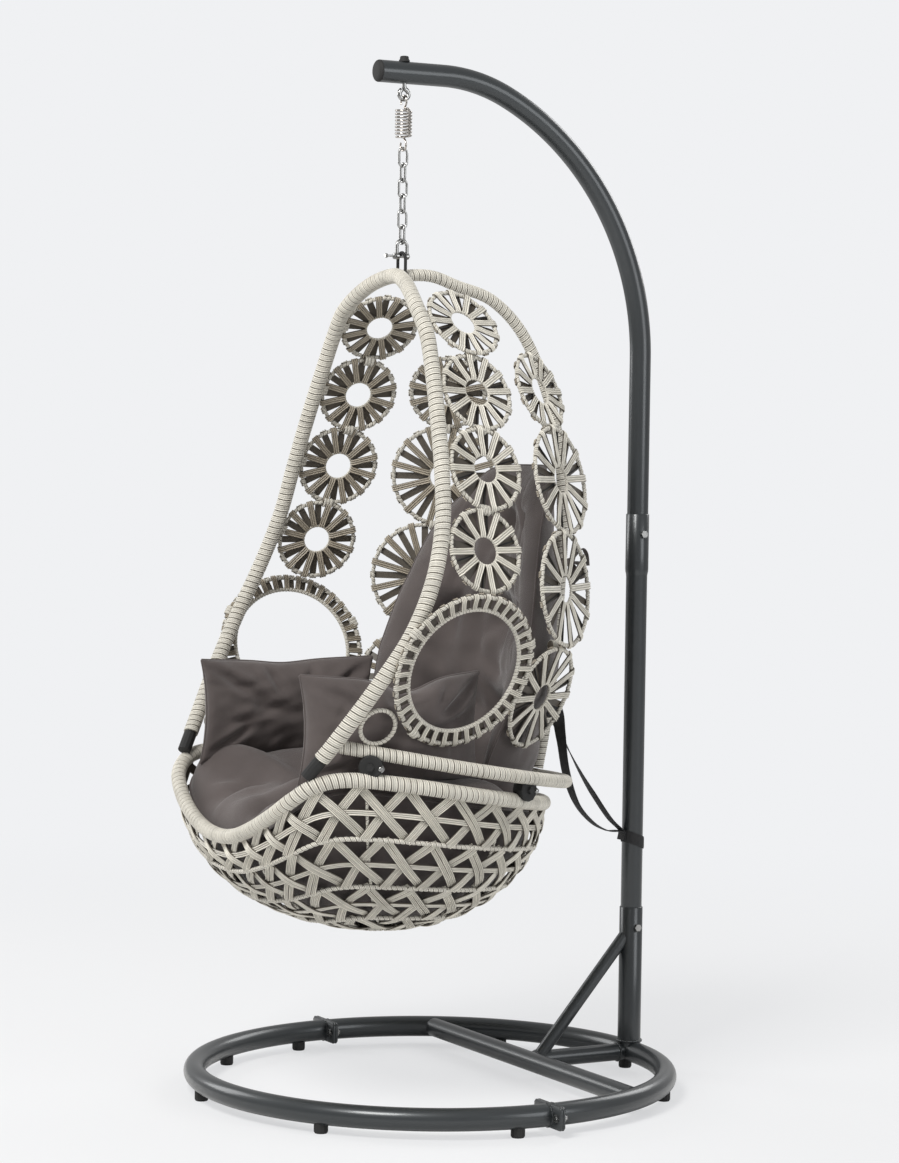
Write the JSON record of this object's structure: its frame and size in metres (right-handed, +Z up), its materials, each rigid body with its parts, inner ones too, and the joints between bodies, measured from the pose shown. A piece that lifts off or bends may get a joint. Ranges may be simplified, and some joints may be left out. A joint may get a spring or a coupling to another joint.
{
  "type": "hanging egg chair",
  "caption": "Egg-shaped hanging chair of wrapped tube and wicker wheels, cushioned, hung by spring and chain from a bent post on a ring base.",
  "frame": {"origin": "centre of the base ring, on the floor", "axes": "+Z up; the opening of the chair faces -Y and the post stands at +Y; +X is to the right of a viewer facing the opening"},
  "size_m": [1.004, 0.95, 1.9759],
  "materials": {
    "powder_coat": "satin powder coat",
    "zinc_steel": "bright zinc",
    "nickel_steel": "nickel plate",
    "black_plastic": "matte",
    "foot_rubber": "matte",
    "wrapped_frame": "wrapped resin strand",
    "wicker": "resin strand",
    "cushion_fabric": "woven cover",
    "webbing": "flat woven strap"
  },
  "bodies": {
    "stand": {"base_front_arc": "powder_coat", "base_rear_arc": "powder_coat", "cross_bar": "powder_coat", "spine_bar": "powder_coat", "lower_post": "powder_coat", "brace_strut": "powder_coat", "mid_pole": "powder_coat", "upper_arc_pole": "powder_coat", "arm_end_plug": "black_plastic", "flange_bolt_right_outer": "zinc_steel", "flange_bolt_right_inner": "zinc_steel", "flange_bolt_left_inner": "zinc_steel", "flange_bolt_left_outer": "zinc_steel", "lower_socket_bolt": "zinc_steel", "upper_socket_bolt": "zinc_steel", "foot_1": "foot_rubber", "foot_2": "foot_rubber", "foot_3": "foot_rubber", "foot_4": "foot_rubber", "foot_5": "foot_rubber", "foot_6": "foot_rubber", "foot_7": "foot_rubber", "foot_8": "foot_rubber", "eye_bolt": "zinc_steel", "arm_top_nut": "black_plastic", "post_strap_cuff": "webbing"},
    "spring": {"spring": "nickel_steel"},
    "upper_links": {"chain_link_1": "zinc_steel", "chain_link_2": "zinc_steel"},
    "chain": {"chain_link_3": "zinc_steel", "chain_link_4": "zinc_steel", "chain_link_5": "zinc_steel", "chain_link_6": "zinc_steel"},
    "chair": {"bow_shackle": "zinc_steel", "shackle_pin": "zinc_steel", "hanging_loop": "black_plastic", "shell_rim": "wrapped_frame", "shell_sill": "wrapped_frame", "shell_spine": "wrapped_frame", "bowl_rim": "wrapped_frame", "corner_plug_right": "black_plastic", "corner_plug_left": "black_plastic", "frame_clamp_right_front": "black_plastic", "frame_clamp_right_rear": "black_plastic", "frame_clamp_left_front": "black_plastic", "frame_clamp_left_rear": "black_plastic", "side_wheels_right": "wicker", "side_wheels_left": "wicker", "back_wheels_right": "wicker", "back_wheels_left": "wicker", "arm_ring_right": "wicker", "arm_ring_left": "wicker", "small_ring_right": "wicker", "small_ring_left": "wicker", "bowl_lattice": "wicker", "seat_cushion": "cushion_fabric", "back_cushion": "cushion_fabric", "arm_pillow_right": "cushion_fabric", "arm_pillow_left": "cushion_fabric", "tether_strap": "webbing"}
  },
  "joints": [
    {"name": "chair_sway", "type": "hinge", "parent": "stand", "child": "spring", "pos_m": [0, -0.086, 1.8949], "axis": [0, 1, 0], "range_deg": [-6, 6]},
    {"name": "spring_bounce", "type": "slide", "parent": "spring", "child": "upper_links", "axis": [0, 0, 1], "range_m": [-0.045, 0.01], "stiffness_N_per_m": 11500, "springref_m": 0.02857, "deforming": ["spring"]},
    {"name": "chair_swing", "type": "hinge", "parent": "upper_links", "child": "chain", "pos_m": [0, -0.086, 1.739], "axis": [1, 0, 0], "range_deg": [-6, 6], "deforming": ["tether_strap"]},
    {"name": "chair_turn", "type": "hinge", "parent": "chain", "child": "chair", "pos_m": [0, -0.086, 1.6222], "axis": [0, 0, 1], "range_deg": [-15, 15], "stiffness_Nm_per_rad": 2}
  ]
}
